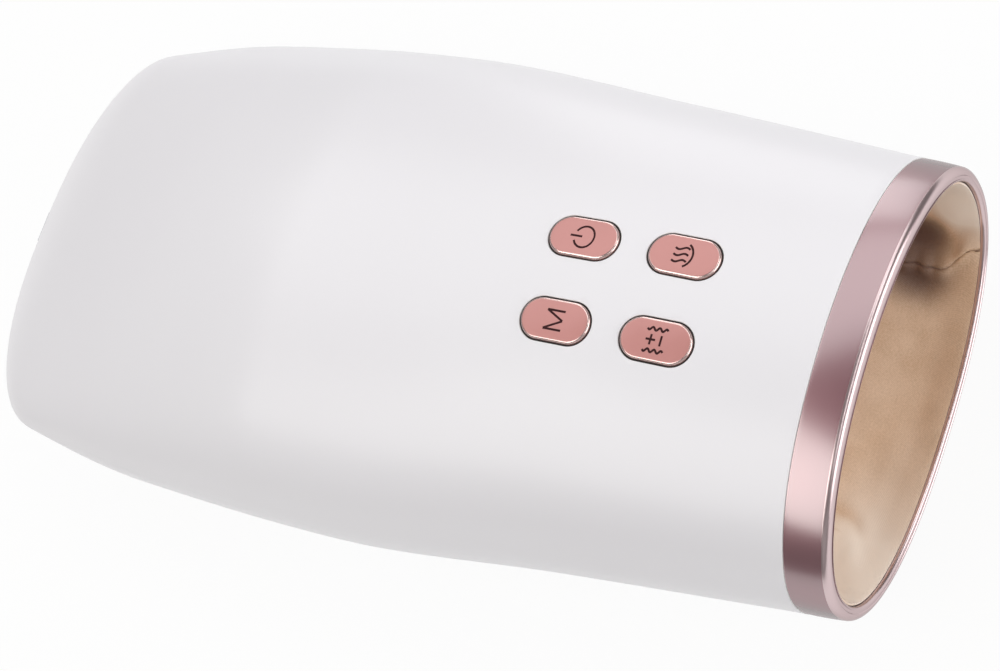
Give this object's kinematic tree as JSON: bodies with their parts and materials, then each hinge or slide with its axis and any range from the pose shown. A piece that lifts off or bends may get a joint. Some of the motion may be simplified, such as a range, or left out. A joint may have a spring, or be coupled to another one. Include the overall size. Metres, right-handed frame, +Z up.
{
  "type": "hand massager",
  "caption": "Pocket-shaped massager with a closed nose and an open mouth: a pneumatic pad presses a hand on a heated palm plate.",
  "frame": {"origin": "centre of the bounding box at the underside of the rubber feet", "axes": "+Z up, +Y from the open mouth towards the closed nose, +X to the right seen from the mouth"},
  "size_m": [0.1364, 0.2728, 0.0741],
  "materials": {
    "pearl_shell": "gloss pearl white",
    "rose_ring": "rose gold plating, satin band and bright rim",
    "rose_key": "rose gold plating, satin",
    "inner_plastic": "matte",
    "dark_plastic": "matte",
    "tan_satin": "satin weave",
    "black_rubber": "matte",
    "airbag_film": "semi-matte film",
    "foam": "open foam",
    "heat_film": "polyimide film",
    "board_green": "solder mask",
    "steel": "plated",
    "cell_wrap": "shrink wrap",
    "silicone_tube": "translucent"
  },
  "bodies": {
    "casing": {"bag_tube": "silicone_tube", "battery_cell_1": "cell_wrap", "battery_cell_2": "cell_wrap", "battery_tray": "dark_plastic", "bottom_shell": "pearl_shell", "case_screw_1": "steel", "case_screw_2": "steel", "case_screw_3": "steel", "case_screw_4": "steel", "charging_jack": "steel", "fill_valve": "steel", "frame_screw_1": "steel", "frame_screw_2": "steel", "frame_screw_3": "steel", "frame_screw_4": "steel", "front_ring": "rose_ring", "heating_film": "heat_film", "jack_board": "board_green", "key_board": "board_green", "key_ribbon": "inner_plastic", "key_screw_1": "steel", "key_screw_2": "steel", "key_screw_3": "steel", "key_screw_4": "steel", "liner_hoop": "dark_plastic", "liner_lower": "tan_satin", "liner_upper": "tan_satin", "lower_frame": "inner_plastic", "main_board": "board_green", "palm_foam": "foam", "palm_plate": "dark_plastic", "pump_cradle": "black_rubber", "pump_head": "dark_plastic", "pump_motor": "steel", "pump_tube": "silicone_tube", "release_valve": "steel", "rubber_foot_1": "black_rubber", "rubber_foot_2": "black_rubber", "rubber_foot_3": "black_rubber", "rubber_foot_4": "black_rubber", "top_shell": "pearl_shell", "upper_airbag": "airbag_film", "upper_frame": "inner_plastic", "valve_link": "silicone_tube"},
    "heat_button": {"heat_button": "rose_key"},
    "level_button": {"level_button": "rose_key"},
    "mode_button": {"mode_button": "rose_key"},
    "power_button": {"power_button": "rose_key"},
    "press_pad": {"press_pad": "foam"},
    "pump_eccentric": {"pump_eccentric": "steel"}
  },
  "joints": [
    {"name": "power_button_press", "type": "slide", "parent": "casing", "child": "power_button", "axis": [-0.0924, -0.0031, -0.9957], "range_m": [0, 0.0006], "stiffness_N_per_m": 400, "springref_m": -0.0005},
    {"name": "heat_button_press", "type": "slide", "parent": "casing", "child": "heat_button", "axis": [-0.0979, 0.048, -0.994], "range_m": [0, 0.0006], "stiffness_N_per_m": 400, "springref_m": -0.0005},
    {"name": "mode_button_press", "type": "slide", "parent": "casing", "child": "mode_button", "axis": [0.0924, -0.0031, -0.9957], "range_m": [0, 0.0006], "stiffness_N_per_m": 400, "springref_m": -0.0005},
    {"name": "level_button_press", "type": "slide", "parent": "casing", "child": "level_button", "axis": [0.0979, 0.048, -0.994], "range_m": [0, 0.0006], "stiffness_N_per_m": 400, "springref_m": -0.0005},
    {"name": "press_pad_push", "type": "slide", "parent": "casing", "child": "press_pad", "axis": [0, 0, -1], "range_m": [0, 0.01], "stiffness_N_per_m": 800, "springref_m": -0.002, "deforming": ["upper_airbag", "liner_upper"]},
    {"name": "pump_eccentric_spin", "type": "hinge", "parent": "casing", "child": "pump_eccentric", "pos_m": [0.0015, 0.0569, 0.0449], "axis": [1, 0, 0], "continuous": true}
  ]
}
